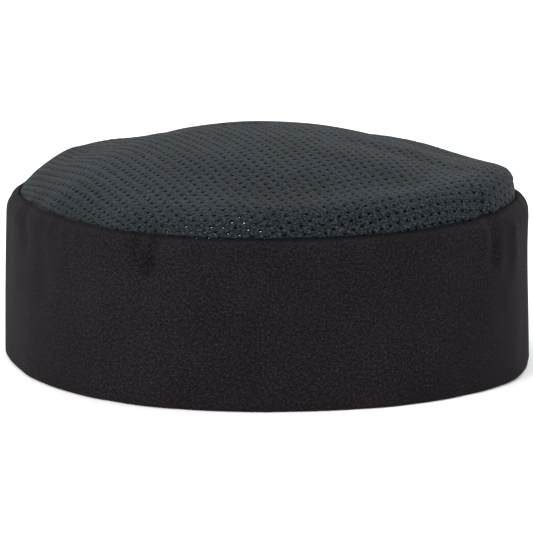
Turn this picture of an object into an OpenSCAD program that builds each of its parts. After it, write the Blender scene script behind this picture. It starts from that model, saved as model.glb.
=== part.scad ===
// Low chef's cap with a breathable crown: a stiffened twill band, a domed mesh
// crown sewn into its top edge, an inner sweatband, and a hook-and-loop strap
// across a bound arch at the back.
//
// +Z is up, X runs across the front of the cap, the front faces -Y and the strap
// is at +Y. The origin is on the resting plane, at the middle of the cap's box.

/* [Plan] */
// Outside width of the band, across the front
cap_w = 188; // [184:1:192]
// Outside depth of the band, front to back
cap_d = 204; // [200:1:208]
// Radius of the front and back arcs
front_r = 100; // [96:1:104]
// Radius of the long, flatter side arcs
side_r = 125; // [120:1:135]
// Radius of the four arcs that join the front, the sides and the back
corner_r = 60; // [50:1:64]

/* [Band] */
// Height of the upright wall, below the rounded shoulder
wall_h = 52; // [52:1:60]
// Radius of the shoulder that rolls in to the crown seam
shoulder_r = 8; // [7:0.5:9]
// How far round the shoulder the crown seam lies, in degrees
seam_angle = 60; // [50:1:65]
// Thickness of the twill, outside and inside
cloth_t = 0.8; // [0.6:0.1:1]
// Thickness of the stiff interlining between the two layers of twill
interlining_t = 0.6; // [0.4:0.1:0.8]
// Height of the twill that is turned up inside at the hem
turn_up_h = 14; // [10:1:18]

/* [Crown] */
// Height of the crown above its seam
crown_rise = 25; // [20:1:32]
// Thickness of the mesh
mesh_t = 0.8; // [0.6:0.1:1]
// Depth of the mesh seam allowance inside
allowance_h = 8; // [6:1:9]
// Thickness of the tape that binds the seam allowance
tape_t = 0.8; // [0.6:0.1:1]

/* [Sweatband] */
// Height of the folded sweatband
sweatband_h = 32; // [26:1:34]
// Thickness of the folded sweatband
sweatband_t = 1.4; // [1:0.1:1.6]

/* [Back opening] */
// Width of the arch
arch_w = 50; // [46:1:52]
// Height of the arch's straight sides
arch_side_h = 20; // [18:1:21]
// Width of the binding on each face of the band
binding_w = 3.5; // [3:0.5:4]
// Thickness of the binding tape
binding_t = 0.7; // [0.5:0.1:0.8]

/* [Strap] */
// Height of both halves of the strap
strap_h = 21; // [19:1:22]
// Thickness of both halves of the strap
strap_t = 1.2; // [1:0.1:1.4]
// Length of the sewn end of the outer strap
root_l = 13; // [10:1:16]
// Thickness of the loop tape and of the hook tape
tape_pair_t = 0.9; // [0.7:0.1:1]
// Height of the loop tape and of the hook tape
tape_pair_h = 16; // [14:1:17]

/* [Stitches] */
// Distance from one stitch to the next
stitch_pitch = 4; // [3:0.1:5]
// Thickness of the thread
thread_t = 0.3; // [0.2:0.05:0.4]

/* [Hidden] */
$fn = 180;

twill_black = [0.13, 0.12, 0.13];
mesh_grey = [0.23, 0.26, 0.28];
lining_black = [0.16, 0.15, 0.16];
tape_black = [0.10, 0.10, 0.11];
thread_black = [0.20, 0.19, 0.20];
sweatband_grey = [0.30, 0.30, 0.31];
label_white = [0.80, 0.80, 0.78];

// Clear space between two layers that are sewn face to face
gap = 0.1;
// Clear space between the moving strap and what it lies on
peel_gap = 0.3;
// Far enough to cut right through a wall
through = 20;

// Depths below the band's outer face. A layer lies between its face and its back,
// and a negative depth stands proud of the band.
shell_back = cloth_t;
interlining_face = shell_back + gap;
interlining_back = interlining_face + interlining_t;
lining_face = interlining_back + gap;
lining_back = lining_face + cloth_t;
sweatband_face = lining_back + gap;
sweatband_back = sweatband_face + sweatband_t;
strap_face = -gap - binding_t - peel_gap - strap_t;
hook_face = strap_face + strap_t + gap;
loop_face = hook_face + tape_pair_t + peel_gap;
under_face = loop_face + tape_pair_t + gap;

// The strap and its stitches stand proud at the back only, so the plan is set
// forward by half of that, to keep the cap's box centred on the origin.
plan_y = (strap_face - thread_t) / 2;

// The plan is eight arcs that meet at a tangent. The corner arc's centre is where
// it touches the front arc and the side arc from inside.
front_centre = [0, cap_d / 2 - front_r];
side_centre = [cap_w / 2 - side_r, 0];
corner_centre = crossing(front_centre, front_r - corner_r, side_centre, side_r - corner_r);
side_end = direction(side_centre, corner_centre);
corner_end = direction(front_centre, corner_centre);
// How many flats each arc is drawn with
front_flats = 24;
side_flats = 20;
corner_flats = 4;
// Each arc is its centre, its radius, its first angle, its last angle and its flats
ARCS = [
    [side_centre, side_r, -side_end, side_end, side_flats],
    [corner_centre, corner_r, side_end, corner_end, corner_flats],
    [front_centre, front_r, corner_end, 180 - corner_end, front_flats],
    [flip(corner_centre, -1, 1), corner_r, 180 - corner_end, 180 - side_end, corner_flats],
    [flip(side_centre, -1, 1), side_r, 180 - side_end, 180 + side_end, side_flats],
    [flip(corner_centre, -1, -1), corner_r, 180 + side_end, 180 + corner_end, corner_flats],
    [flip(front_centre, 1, -1), front_r, 180 + corner_end, 360 - corner_end, front_flats],
    [flip(corner_centre, 1, -1), corner_r, 360 - corner_end, 360 - side_end, corner_flats]
];

// Where the crown seam lies: its depth below the band's face, and its height
seam_depth = shoulder_r * (1 - cos(seam_angle));
seam_z = wall_h + shoulder_r * sin(seam_angle);
// The mesh turns down inside the band's layers, clear of their cut edges
allowance_depth = shoulder_r - (shoulder_r - lining_back) * cos(seam_angle) + 2 * gap;
allowance_top = seam_z - (lining_back + gap) * sin(seam_angle);
allowance_foot = allowance_top - allowance_h;
// Rings from the crown's edge to its top, and steps round the shoulder
crown_rings = 11;
shoulder_steps = 4;
// The crown leaves its seam steeply and flattens towards the top
crown_edge_power = 1.7;
crown_height_power = 0.6;

// The tape's two legs and its fold, round the mesh's cut edge
tape_face = allowance_depth - gap - tape_t;
tape_back = allowance_depth + mesh_t + gap + tape_t;
tape_foot = allowance_foot - gap - tape_t;
// Height of the folded tape
tape_h = 6.5;

// Places along the strap, from its sewn root to its free tip, along X
arch_r = arch_w / 2;
// The strap turns on a fold line between the binding and its sewn end
fold_side = 0.4;
hinge_x = arch_r + binding_w + fold_side;
strap_end_x = hinge_x - fold_side;
root_x = hinge_x + fold_side + peel_gap;
root_end_x = root_x + root_l;
strap_tip_x = -20;
under_root_x = -arch_r + binding_t + 2 * gap;
under_tip_x = 14;
hook_tape_x = [-17, 11];
loop_tape_x = [-21, 12];
strap_z = 1;
strap_tip_r = 6;
tape_pair_z = strap_z + (strap_h - tape_pair_h) / 2;

// How far in from an edge a row of stitches runs, and the share of the pitch that
// each stitch takes up
stitch_edge = 1.5;
binding_stitch_edge = 1;
stitch_share = 0.65;
sweatband_stitch_z = 5;

// The label hangs from the tape, beside the arch
label_w = 20;
label_h = 15;
label_t = 0.4;
label_x = -58;

function flip(p, sx, sy) = [p.x * sx, p.y * sy];
function direction(from, to) = atan2(to.y - from.y, to.x - from.x);

// The crossing, on the right of the line from a to b, of two circles
function crossing(a, ra, b, rb) =
    let (d = norm(b - a))
    let (along = (ra * ra - rb * rb + d * d) / (2 * d))
    let (aside = sqrt(ra * ra - along * along))
    let (u = (b - a) / d)
    a + along * u + aside * [u.y, -u.x];

function arc_points(centre, radius, first, last, count) = [
    for (i = [0 : count - 1])
    let (a = first + (last - first) * i / count)
    centre + radius * [cos(a), sin(a)]
];

// The plan's outline at a depth below the band's face
function plan_points(depth) = [
    for (arc = ARCS)
    each arc_points(arc[0] + [0, plan_y], arc[1] - depth, arc[2], arc[3], arc[4])
];

// The same outline, raised to a height
function plan_ring(depth, z) = [for (p = plan_points(depth)) [p.x, p.y, z]];

// A ring on the shoulder, below its surface by the given depth
function shoulder_ring(depth, angle) =
    let (r = shoulder_r - depth)
    plan_ring(shoulder_r - r * cos(angle), wall_h + r * sin(angle));

function crown_height(s) =
    crown_rise * pow(1 - pow(s, crown_edge_power), crown_height_power);

// One ring of the crown: the outline at a depth, drawn in towards the middle by
// the scale s
function crown_ring(depth, s, z) = [
    for (p = plan_points(depth))
    [p.x * s, plan_y + (p.y - plan_y) * s, z]
];

// An upright wall round the cap, between two depths
module wall(face, back, foot, top) {
    translate([0, 0, foot])
        linear_extrude(height = top - foot)
            difference() {
                polygon(plan_points(face));
                polygon(plan_points(back));
            }
}

// The part of a layer that rolls over the shoulder, from the wall to the seam
module shoulder(face, back) {
    outer = [for (i = [0 : shoulder_steps]) shoulder_ring(face, seam_angle * i / shoulder_steps)];
    inner = [for (i = [shoulder_steps : -1 : 0]) shoulder_ring(back, seam_angle * i / shoulder_steps)];
    rings = concat(outer, inner);
    polyhedron([for (r = rings) each r], ring_faces(len(rings[0]), len(rings), -1));
}

// The faces between rings of n points each. The last ring joins the first, and no
// faces are made after the ring numbered open_at.
function ring_faces(n, count, open_at) = [
    for (r = [0 : count - 1], i = [0 : n - 1])
    if (r != open_at)
    let (a = r * n, b = (r + 1) % count * n, j = (i + 1) % n)
    each [[a + i, b + i, b + j], [a + i, b + j, a + j]]
];

// The arch's outline, widened by a margin on all its curved and upright edges
module arch_outline(margin) {
    half = arch_r + margin;
    translate([-half, -1])
        square([2 * half, arch_side_h + 1]);
    translate([0, arch_side_h])
        circle(r = half);
}

// Carries an outline in X and Z straight back through the rear wall
module through_the_back() {
    translate([0, cap_d / 2 + through, 0])
        rotate([90, 0, 0])
            linear_extrude(height = 2 * through)
                children();
}

// A curved plate at the back, between two depths, with the given outline
module back_plate(face, back) {
    intersection() {
        translate([0, front_centre.y + plan_y, 0])
            difference() {
                cylinder(r = front_r - face, h = seam_z);
                translate([0, 0, -1])
                    cylinder(r = front_r - back, h = seam_z + 2);
            }
        through_the_back()
            children();
    }
}

// A strap's outline in X and Z, with its two low-X corners rounded
module rounded_outline(x0, x1, z0, height, r) {
    translate([x0 + r, z0])
        square([x1 - x0 - r, height]);
    translate([x0, z0 + r])
        square([r, height - 2 * r]);
    for (z = [z0 + r, z0 + height - r])
        translate([x0 + r, z])
            circle(r = r);
}

// A rectangle in X and Z
module plain_outline(x0, x1, z0, height) {
    translate([x0, z0])
        square([x1 - x0, height]);
}

// The visible part of one stitch, along X
module stitch(length) {
    cube([length, thread_t, thread_t], center = true);
}

// A row of stitches right round the cap, just clear of the face at the given depth
module stitches_round_the_cap(depth, z) {
    for (arc = ARCS) {
        radius = arc[1] - depth - gap - thread_t / 2;
        sweep = arc[3] - arc[2];
        count = floor(sweep * PI / 180 * radius / stitch_pitch);
        translate([arc[0].x, arc[0].y + plan_y, z])
            for (i = [0 : count - 1])
                rotate(arc[2] + sweep * (i + 0.5) / count)
                    translate([radius, 0, 0])
                        rotate(90)
                            stitch(stitch_pitch * stitch_share);
    }
}

// One stitch on the rear wall at x and z. The depth is that of the stitch's middle,
// and tilt turns it from level.
module back_stitch(x, z, depth, tilt) {
    radius = front_r - depth;
    translate([0, front_centre.y + plan_y, z])
        rotate(-asin(x / radius))
            translate([0, radius, 0])
                rotate([0, tilt, 0])
                    stitch(stitch_pitch * stitch_share);
}

// A box of stitches on the rear wall
module back_stitch_box(x0, x1, z0, z1, depth) {
    across = floor((x1 - x0) / stitch_pitch);
    up = floor((z1 - z0) / stitch_pitch);
    for (i = [0 : across - 1], z = [z0, z1])
        back_stitch(x0 + (x1 - x0) * (i + 0.5) / across, z, depth, 0);
    for (i = [0 : up - 1], x = [x0, x1])
        back_stitch(x, z0 + (z1 - z0) * (i + 0.5) / up, depth, 90);
}

module band_shell() {
    color(twill_black)
        difference() {
            union() {
                wall(0, shell_back, 0, wall_h);
                shoulder(0, shell_back);
                wall(0, lining_back, 0, cloth_t);
                wall(lining_face, lining_back, 0, turn_up_h);
            }
            through_the_back()
                arch_outline(0);
        }
}

module band_interlining() {
    color(tape_black)
        difference() {
            wall(interlining_face, interlining_back, cloth_t + gap, wall_h);
            through_the_back()
                arch_outline(0);
        }
}

module band_lining() {
    color(lining_black)
        difference() {
            union() {
                wall(lining_face, lining_back, turn_up_h + gap, wall_h);
                shoulder(lining_face, lining_back);
            }
            through_the_back()
                arch_outline(0);
        }
}

module sweatband() {
    color(sweatband_grey)
        difference() {
            wall(sweatband_face, sweatband_back, cloth_t, sweatband_h);
            through_the_back()
                plain_outline(-root_end_x, root_end_x, -1, wall_h);
        }
}

module sweatband_stitches() {
    color(thread_black)
        difference() {
            stitches_round_the_cap(sweatband_back, sweatband_stitch_z);
            through_the_back()
                plain_outline(-root_end_x - stitch_edge, root_end_x + stitch_edge, -1, wall_h);
        }
}

// The crown is one closed skin of rings: up its outer face to the middle, and back
// down its inner face and round the seam allowance
module crown_panel() {
    scales = [for (i = [0 : crown_rings]) 1 - pow(i / crown_rings, 2)];
    rings = concat(
        [
            crown_ring(allowance_depth, 1, allowance_foot),
            crown_ring(allowance_depth, 1, allowance_top)
        ],
        [
            for (s = scales)
            if (s > 0)
            crown_ring(seam_depth + gap, s, seam_z + gap + crown_height(s))
        ],
        [
            for (i = [crown_rings : -1 : 0])
            if (scales[i] > 0)
            crown_ring(
                seam_depth + gap + mesh_t, scales[i],
                seam_z + gap - mesh_t + crown_height(scales[i])
            )
        ],
        [
            crown_ring(allowance_depth + mesh_t, 1, allowance_top - mesh_t / 2),
            crown_ring(allowance_depth + mesh_t, 1, allowance_foot)
        ]
    );
    color(mesh_grey)
        closed_skin(rings, crown_rings + 1);
}

// A closed skin through rings of equal length. The last ring joins the first, and
// after the ring at top_index, and before the next, the skin closes on a middle point.
module closed_skin(rings, top_index) {
    n = len(rings[0]);
    count = len(rings);
    outer_top = [0, plan_y, seam_z + gap + crown_rise];
    points = concat([for (r = rings) each r], [outer_top, outer_top - [0, 0, mesh_t]]);
    caps = [
        for (i = [0 : n - 1])
        let (j = (i + 1) % n, a = top_index * n, b = (top_index + 1) * n)
        each [[a + i, n * count, a + j], [b + i, b + j, n * count + 1]]
    ];
    polyhedron(points, concat(ring_faces(n, count, top_index), caps));
}

module crown_seam_tape() {
    color(tape_black) {
        wall(tape_face, tape_face + tape_t, tape_foot, tape_foot + tape_h);
        wall(tape_back - tape_t, tape_back, tape_foot, tape_foot + tape_h);
        wall(tape_face, tape_back, tape_foot, tape_foot + tape_t);
    }
}

module crown_seam_stitches() {
    color(thread_black)
        stitches_round_the_cap(tape_back, tape_foot + tape_h - stitch_edge);
}

// The binding has a lip on each face of the band, and a fold over the cut edge
module arch_binding() {
    inner_face = lining_back + gap;
    fold = -binding_t - gap;
    color(tape_black) {
        back_plate(-gap - binding_t, inner_face + binding_t)
            arch_ring(fold, -gap);
        back_plate(-gap - binding_t, -gap)
            arch_ring(fold, binding_w);
        back_plate(inner_face, inner_face + binding_t)
            arch_ring(fold, binding_w);
    }
}

// The strip between two margins round the arch, down to the hem
module arch_ring(inner_margin, outer_margin) {
    intersection() {
        difference() {
            arch_outline(outer_margin);
            arch_outline(inner_margin);
        }
        translate([-arch_w, 0])
            square([2 * arch_w, 2 * arch_w]);
    }
}

// One row of stitches along the binding's curve, starting just above the strap
module arch_binding_stitches() {
    depth = -gap - binding_t - thread_t / 2;
    r = arch_r + binding_w - binding_stitch_edge;
    first = asin((strap_z + strap_h + stitch_edge - arch_side_h) / r);
    count = floor((180 - 2 * first) * PI / 180 * r / stitch_pitch);
    color(thread_black)
        for (i = [0 : count - 1])
            let (a = first + (180 - 2 * first) * (i + 0.5) / count)
            back_stitch(r * cos(a), arch_side_h + r * sin(a), depth, 90 - a);
}

module under_strap() {
    color(twill_black)
        back_plate(under_face, under_face + strap_t)
            plain_outline(under_root_x, under_tip_x, strap_z, strap_h);
}

module loop_tape() {
    color(tape_black)
        back_plate(loop_face, loop_face + tape_pair_t)
            plain_outline(loop_tape_x[0], loop_tape_x[1], tape_pair_z, tape_pair_h);
}

module loop_tape_stitches() {
    depth = under_face + strap_t + thread_t / 2;
    color(thread_black)
        back_stitch_box(
            loop_tape_x[0] + stitch_edge, loop_tape_x[1] - stitch_edge,
            tape_pair_z + stitch_edge, tape_pair_z + tape_pair_h - stitch_edge, depth
        );
}

module over_strap() {
    color(twill_black)
        back_plate(strap_face, strap_face + strap_t)
            rounded_outline(strap_tip_x, strap_end_x, strap_z, strap_h, strap_tip_r);
}

module hook_tape() {
    color(tape_black)
        back_plate(hook_face, hook_face + tape_pair_t)
            plain_outline(hook_tape_x[0], hook_tape_x[1], tape_pair_z, tape_pair_h);
}

module hook_tape_stitches() {
    depth = strap_face - thread_t / 2;
    color(thread_black)
        back_stitch_box(
            hook_tape_x[0] + stitch_edge, hook_tape_x[1] - stitch_edge,
            tape_pair_z + stitch_edge, tape_pair_z + tape_pair_h - stitch_edge, depth
        );
}

// The strap's sewn end is turned under, so it fills the depth down to the band
module strap_root() {
    color(twill_black)
        back_plate(strap_face, -gap)
            plain_outline(root_x, root_x + root_l, strap_z, strap_h);
}

module strap_root_stitches() {
    depth = strap_face - thread_t / 2;
    color(thread_black)
        back_stitch_box(
            root_x + stitch_edge, root_x + root_l - stitch_edge,
            strap_z + stitch_edge, strap_z + strap_h - stitch_edge, depth
        );
}

module size_label() {
    face = lining_back + gap;
    color(label_white)
        back_plate(face, face + label_t)
            plain_outline(label_x, label_x + label_w, wall_h - label_h, label_h);
}

band_shell();
band_interlining();
band_lining();
sweatband();
sweatband_stitches();
crown_panel();
crown_seam_tape();
crown_seam_stitches();
arch_binding();
arch_binding_stitches();
under_strap();
loop_tape();
loop_tape_stitches();
over_strap();
hook_tape();
hook_tape_stitches();
strap_root();
strap_root_stitches();
size_label();
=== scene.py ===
import math

import bpy
import numpy as np
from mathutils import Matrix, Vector


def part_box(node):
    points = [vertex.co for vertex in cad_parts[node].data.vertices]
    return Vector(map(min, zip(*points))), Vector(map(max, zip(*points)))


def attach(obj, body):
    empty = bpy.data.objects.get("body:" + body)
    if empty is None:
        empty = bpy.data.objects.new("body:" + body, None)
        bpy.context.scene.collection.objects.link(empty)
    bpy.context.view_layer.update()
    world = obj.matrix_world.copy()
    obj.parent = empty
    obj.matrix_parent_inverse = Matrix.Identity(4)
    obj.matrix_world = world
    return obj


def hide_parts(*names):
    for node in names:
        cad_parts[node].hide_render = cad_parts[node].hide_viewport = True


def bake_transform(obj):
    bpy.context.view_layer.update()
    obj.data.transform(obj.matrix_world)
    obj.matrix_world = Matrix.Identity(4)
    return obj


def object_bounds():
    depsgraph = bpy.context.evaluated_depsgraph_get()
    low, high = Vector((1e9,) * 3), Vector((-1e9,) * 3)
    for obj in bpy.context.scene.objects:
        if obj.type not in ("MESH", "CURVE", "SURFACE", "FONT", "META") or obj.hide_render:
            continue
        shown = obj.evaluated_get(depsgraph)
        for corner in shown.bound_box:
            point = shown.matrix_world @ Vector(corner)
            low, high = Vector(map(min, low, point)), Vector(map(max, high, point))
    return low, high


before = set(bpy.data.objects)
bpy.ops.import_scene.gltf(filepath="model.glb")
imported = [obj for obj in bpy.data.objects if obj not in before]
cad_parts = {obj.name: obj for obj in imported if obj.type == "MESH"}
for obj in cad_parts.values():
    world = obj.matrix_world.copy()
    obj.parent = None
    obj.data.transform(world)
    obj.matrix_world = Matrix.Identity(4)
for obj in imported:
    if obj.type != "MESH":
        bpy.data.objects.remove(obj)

cad_low, cad_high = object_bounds()

# ------------------------------------------------------------------ the plan
# The band's outline is eight tangent arcs, as in the CAD. Distances round it, u, start at the
# middle of the front and run towards +X; the middle of the back is half way round.
band_low, band_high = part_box("band_shell")
HALF_W = band_high.x
HALF_D = (band_high.y - band_low.y) / 2
PLAN_Y = (band_high.y + band_low.y) / 2
FRONT_R, SIDE_R, CORNER_R = 0.100, 0.125, 0.060


def tangent_corner(front, side):
    """The centre of the arc that touches the front arc and the side arc from inside."""
    ra, rb = FRONT_R - CORNER_R, SIDE_R - CORNER_R
    d = np.linalg.norm(side - front)
    along = (ra * ra - rb * rb + d * d) / (2 * d)
    aside = math.sqrt(ra * ra - along * along)
    unit = (side - front) / d
    return front + along * unit + aside * np.array([unit[1], -unit[0]])


back_c = np.array([0, HALF_D - FRONT_R])
side_c = np.array([HALF_W - SIDE_R, 0])
corner_c = tangent_corner(back_c, side_c)
side_end = math.atan2(corner_c[1] - side_c[1], corner_c[0] - side_c[0])
corner_end = math.atan2(corner_c[1] - back_c[1], corner_c[0] - back_c[0])
ARCS = [
    (back_c * [1, -1], FRONT_R, -math.pi / 2, -corner_end),
    (corner_c * [1, -1], CORNER_R, -corner_end, -side_end),
    (side_c, SIDE_R, -side_end, side_end),
    (corner_c, CORNER_R, side_end, corner_end),
    (back_c, FRONT_R, corner_end, math.pi - corner_end),
    (corner_c * [-1, 1], CORNER_R, math.pi - corner_end, math.pi - side_end),
    (side_c * [-1, 1], SIDE_R, math.pi - side_end, math.pi + side_end),
    (corner_c * [-1, -1], CORNER_R, math.pi + side_end, math.pi + corner_end),
    (back_c * [1, -1], FRONT_R, math.pi + corner_end, 1.5 * math.pi),
]
ARC_C = np.array([a[0] for a in ARCS])
ARC_R = np.array([a[1] for a in ARCS])
ARC_A = np.array([a[2] for a in ARCS])
ARC_END = np.cumsum([a[1] * (a[3] - a[2]) for a in ARCS])
ARC_START = np.concatenate([[0], ARC_END[:-1]])
ROUND = float(ARC_END[-1])
U_BACK = ROUND / 2
BACK_CY = PLAN_Y + back_c[1]


def smooth_step(x):
    x = np.clip(x, 0, 1)
    return x * x * (3 - 2 * x)


def wrapped(value, period):
    """The value within half a period of zero."""
    return np.mod(value + period / 2, period) - period / 2


def plan(u):
    """The outline's points and outward directions at the distances u."""
    u = np.mod(u, ROUND)
    k = np.minimum(np.searchsorted(ARC_END, u, side="right"), len(ARCS) - 1)
    a = ARC_A[k] + (u - ARC_START[k]) / ARC_R[k]
    n = np.stack([np.cos(a), np.sin(a)], -1)
    return ARC_C[k] + ARC_R[k][..., None] * n + [0, PLAN_Y], n


BACK_SPAN = 0.66


def back_x(u):
    """X on the back arc at the distance u, and far to one side anywhere else."""
    a = wrapped(u - U_BACK, ROUND) / FRONT_R
    return np.where(np.abs(a) < BACK_SPAN, -FRONT_R * np.sin(np.clip(a, -BACK_SPAN, BACK_SPAN)), 1.0)


# ------------------------------------------------------------- the band's relief
WALL_H = 0.052
SHOULDER_R = 0.008
SEAM_ANGLE = math.radians(60)
SEAM_Z = WALL_H + SHOULDER_R * math.sin(SEAM_ANGLE)
FLARE = 0.0011

# Folds in the band: from (u, z) to (u, z), then half-width and height, in metres
BAND_FOLDS = [
    # the double pucker under the seam, left of the front
    (-0.0710, 0.0560, -0.0660, 0.0480, 0.0024, -0.0027),
    (-0.0636, 0.0560, -0.0648, 0.0500, 0.0021, -0.0023),
    (-0.0676, 0.0570, -0.0664, 0.0540, 0.0015, 0.0008),
    (-0.0660, 0.0470, -0.0672, 0.0370, 0.0045, -0.0009),
    # an upright fold, right of the front, with a hollow beside it
    (0.0630, 0.0560, 0.0630, 0.0490, 0.0022, 0.0007),
    (0.0684, 0.0575, 0.0680, 0.0450, 0.0030, -0.0017),
    # the long crease that bows out down the right side
    (0.0755, 0.0590, 0.0830, 0.0520, 0.0021, 0.0005),
    (0.0830, 0.0520, 0.0840, 0.0440, 0.0030, 0.0003),
    (0.0840, 0.0440, 0.0760, 0.0300, 0.0040, 0.0003),
    (0.0778, 0.0530, 0.0780, 0.0400, 0.0040, -0.0005),
    # the top edge stands out a little on the right
    (0.1050, 0.0600, 0.1500, 0.0600, 0.0120, 0.0008),
    # soft dents near the hem
    (0.0472, 0.0125, 0.0530, 0.0040, 0.0042, -0.0009),
    (0.0090, 0.0040, 0.0160, 0.0060, 0.0042, -0.0006),
    (-0.0820, 0.0040, -0.0750, 0.0060, 0.0045, -0.0007),
    (-0.0520, 0.0030, -0.0470, 0.0050, 0.0042, -0.0006),
    # the left side
    (-0.1430, 0.0570, -0.1370, 0.0480, 0.0040, -0.0010),
    (-0.1120, 0.0570, -0.1110, 0.0460, 0.0040, -0.0004),
    (-0.1220, 0.0550, -0.1190, 0.0380, 0.0060, -0.0006),
    (-0.1900, 0.0585, -0.1930, 0.0440, 0.0030, -0.0008),
    # the right side and the back
    (0.1220, 0.0585, 0.1200, 0.0460, 0.0030, -0.0007),
    (0.1520, 0.0580, 0.1490, 0.0360, 0.0036, -0.0009),
    (0.1850, 0.0585, 0.1880, 0.0470, 0.0028, -0.0008),
    (0.2200, 0.0580, 0.2150, 0.0300, 0.0045, -0.0008),
    (-0.2350, 0.0580, -0.2300, 0.0350, 0.0040, -0.0008),
]


def fold_relief(p, q, folds, wrap=None):
    """The height that a list of folds adds at the points (p, q)."""
    total = np.zeros(np.broadcast(p, q).shape)
    for p0, q0, p1, q1, width, height in folds:
        dp, dq = wrapped(p - p0, wrap) if wrap else p - p0, q - q0
        lp, lq = p1 - p0, q1 - q0
        k = np.clip((dp * lp + dq * lq) / (lp * lp + lq * lq), 0, 1)
        away = (dp - k * lp) ** 2 + (dq - k * lq) ** 2
        total = total + height * np.exp(-away / (width * width))
    return total


def ripples(u, z, seed, waves, size, slant):
    """Seeded waves round the cap, each a whole number of times round."""
    rng = np.random.default_rng(seed)
    total = np.zeros(np.broadcast(u, z).shape)
    for w in waves:
        phase, lean, share = rng.uniform(0, 6.28), rng.uniform(-slant, slant), rng.normal()
        total = total + share * np.sin(2 * math.pi * w * u / ROUND + phase + lean * z / WALL_H)
    return size * total / math.sqrt(len(waves))


def relief(u, z):
    """How far the band's cloth stands proud of its plan at the distance u and height z."""
    near_back = np.exp(-((np.mod(u, ROUND) - U_BACK) / 0.055) ** 4)
    calm = 1 - 0.85 * near_back
    z = np.clip(z, 0, SEAM_Z + 0.002)
    seam_near = np.exp(-((SEAM_Z - z) / 0.0085) ** 2)
    flare = FLARE * (0.55 - z / WALL_H)
    slow = ripples(u, z, 3, [2, 3, 5, 7, 9], 0.00055, 2.2)
    middling = ripples(u, z, 8, [17, 23, 29, 37], 0.00016, 4.0)
    gathers = ripples(u, z, 12, [58, 71, 83, 97, 113], 0.00021, 1.0)
    gathers = gathers * (0.55 + 0.45 * np.sin(2 * math.pi * 5 * u / ROUND + 1.1))
    return calm * (slow + middling + gathers * seam_near + fold_relief(u, z, BAND_FOLDS, ROUND)) + flare


def on_band(u, z, depth):
    """Points of an upright layer at a depth below the band's face."""
    p, n = plan(u)
    return np.concatenate([p + n * (relief(u, z) - depth)[..., None], z[..., None]], -1)


def back(x, z, depth):
    """Points on the back wall at x, z and a depth below the band's face."""
    x, z, depth = np.broadcast_arrays(x, z, depth)
    r = FRONT_R - depth
    a = np.arcsin(x / r)
    r = r + relief(U_BACK - FRONT_R * a, z)
    return np.stack([r * np.sin(a), BACK_CY + r * np.cos(a), z], -1)


# The soft cap's seam isn't quite level: the direction, half-width and height of each rise,
# in radians and metres
SEAM_LIFTS = [
    (-0.60, 0.40, 0.0024),
    (0.25, 0.35, -0.0012),
    (-2.90, 0.35, 0.0008),
    (-1.92, 0.50, -0.0004),
]


def settle(points):
    """Points of the level cap, moved to where the soft cap has them."""
    points = np.array(points, float)
    x, y, z = points[..., 0], points[..., 1] - PLAN_Y, points[..., 2]
    angle, r = np.arctan2(y, x), np.hypot(x, y)
    lift = np.zeros_like(angle)
    for at, wide, height in SEAM_LIFTS:
        lift = lift + height * np.exp(-(wrapped(angle - at, 2 * math.pi) / wide) ** 2)
    points[..., 2] = z + lift * smooth_step(z / SEAM_Z) * smooth_step((r - 0.040) / 0.045)
    return points


# ------------------------------------------------------------------ mesh making
def make(name, points, faces, corners=None, sharp=50.0):
    """A smooth-shaded mesh object. corners are the weave's coordinates, in metres, one for
    each corner of each face."""
    mesh = bpy.data.meshes.new(name)
    mesh.from_pydata(settle(points).tolist(), [], [list(f) for f in faces])
    mesh.update()
    if corners is not None:
        layer = mesh.uv_layers.new(name="weave")
        layer.data.foreach_set("uv", np.asarray(corners, np.float32).ravel())
    mesh.shade_smooth()
    mesh.set_sharp_from_angle(angle=math.radians(sharp))
    obj = bpy.data.objects.new(name, mesh)
    bpy.context.scene.collection.objects.link(obj)
    return obj


def cell_corners(across, along, i, j):
    """The weave's coordinates at the four corners of the cells (i, j)."""
    steps = ((0, 0), (1, 0), (1, 1), (0, 1))
    return [np.stack([across[i + di], along[j + dj]], -1) for di, dj in steps]


def thick_sheet(name, face, back_face, across, along, wrap=False, keep=None, sharp=50.0):
    """A closed cloth from two grids of points, (columns, rows, 3). across and along are the
    weave's coordinates of the columns and rows. keep says which cells there is cloth in."""
    nu, ns = face.shape[:2]
    cells_u = nu if wrap else nu - 1
    if keep is None:
        keep = np.ones((cells_u, ns - 1), bool)
    i, j = np.nonzero(keep)
    i2 = (i + 1) % nu
    n = nu * ns
    a, b, c, d = i * ns + j, i2 * ns + j, i2 * ns + j + 1, i * ns + j + 1
    across, along = np.asarray(across), np.asarray(along)
    uv = cell_corners(across, along, i, j)
    faces = [np.stack([a, b, c, d], -1), np.stack([a, d, c, b], -1) + n]
    corners = [np.stack(uv, 1), np.stack([uv[0], uv[3], uv[2], uv[1]], 1)]
    if wrap:
        left, right = np.roll(keep, 1, 0), np.roll(keep, -1, 0)
    else:
        none = np.zeros((1, ns - 1), bool)
        left, right = np.concatenate([none, keep[:-1]]), np.concatenate([keep[1:], none])
    none = np.zeros((cells_u, 1), bool)
    below, above = np.concatenate([none, keep[:, :-1]], 1), np.concatenate([keep[:, 1:], none], 1)
    sides = ((below, a, b, 0, 1), (right, b, c, 1, 2), (above, c, d, 2, 3), (left, d, a, 3, 0))
    for other, p, q, k0, k1 in sides:
        m = ~other[i, j]
        if m.any():
            faces.append(np.stack([q[m], p[m], p[m] + n, q[m] + n], -1))
            corners.append(np.stack([uv[k1][m], uv[k0][m], uv[k0][m], uv[k1][m]], 1))
    faces, corners = np.concatenate(faces), np.concatenate(corners)
    points = np.concatenate([face.reshape(-1, 3), back_face.reshape(-1, 3)])
    used, faces = np.unique(faces, return_inverse=True)
    return make(name, points[used], faces.reshape(-1, 4), corners.reshape(-1, 2), sharp)


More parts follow.
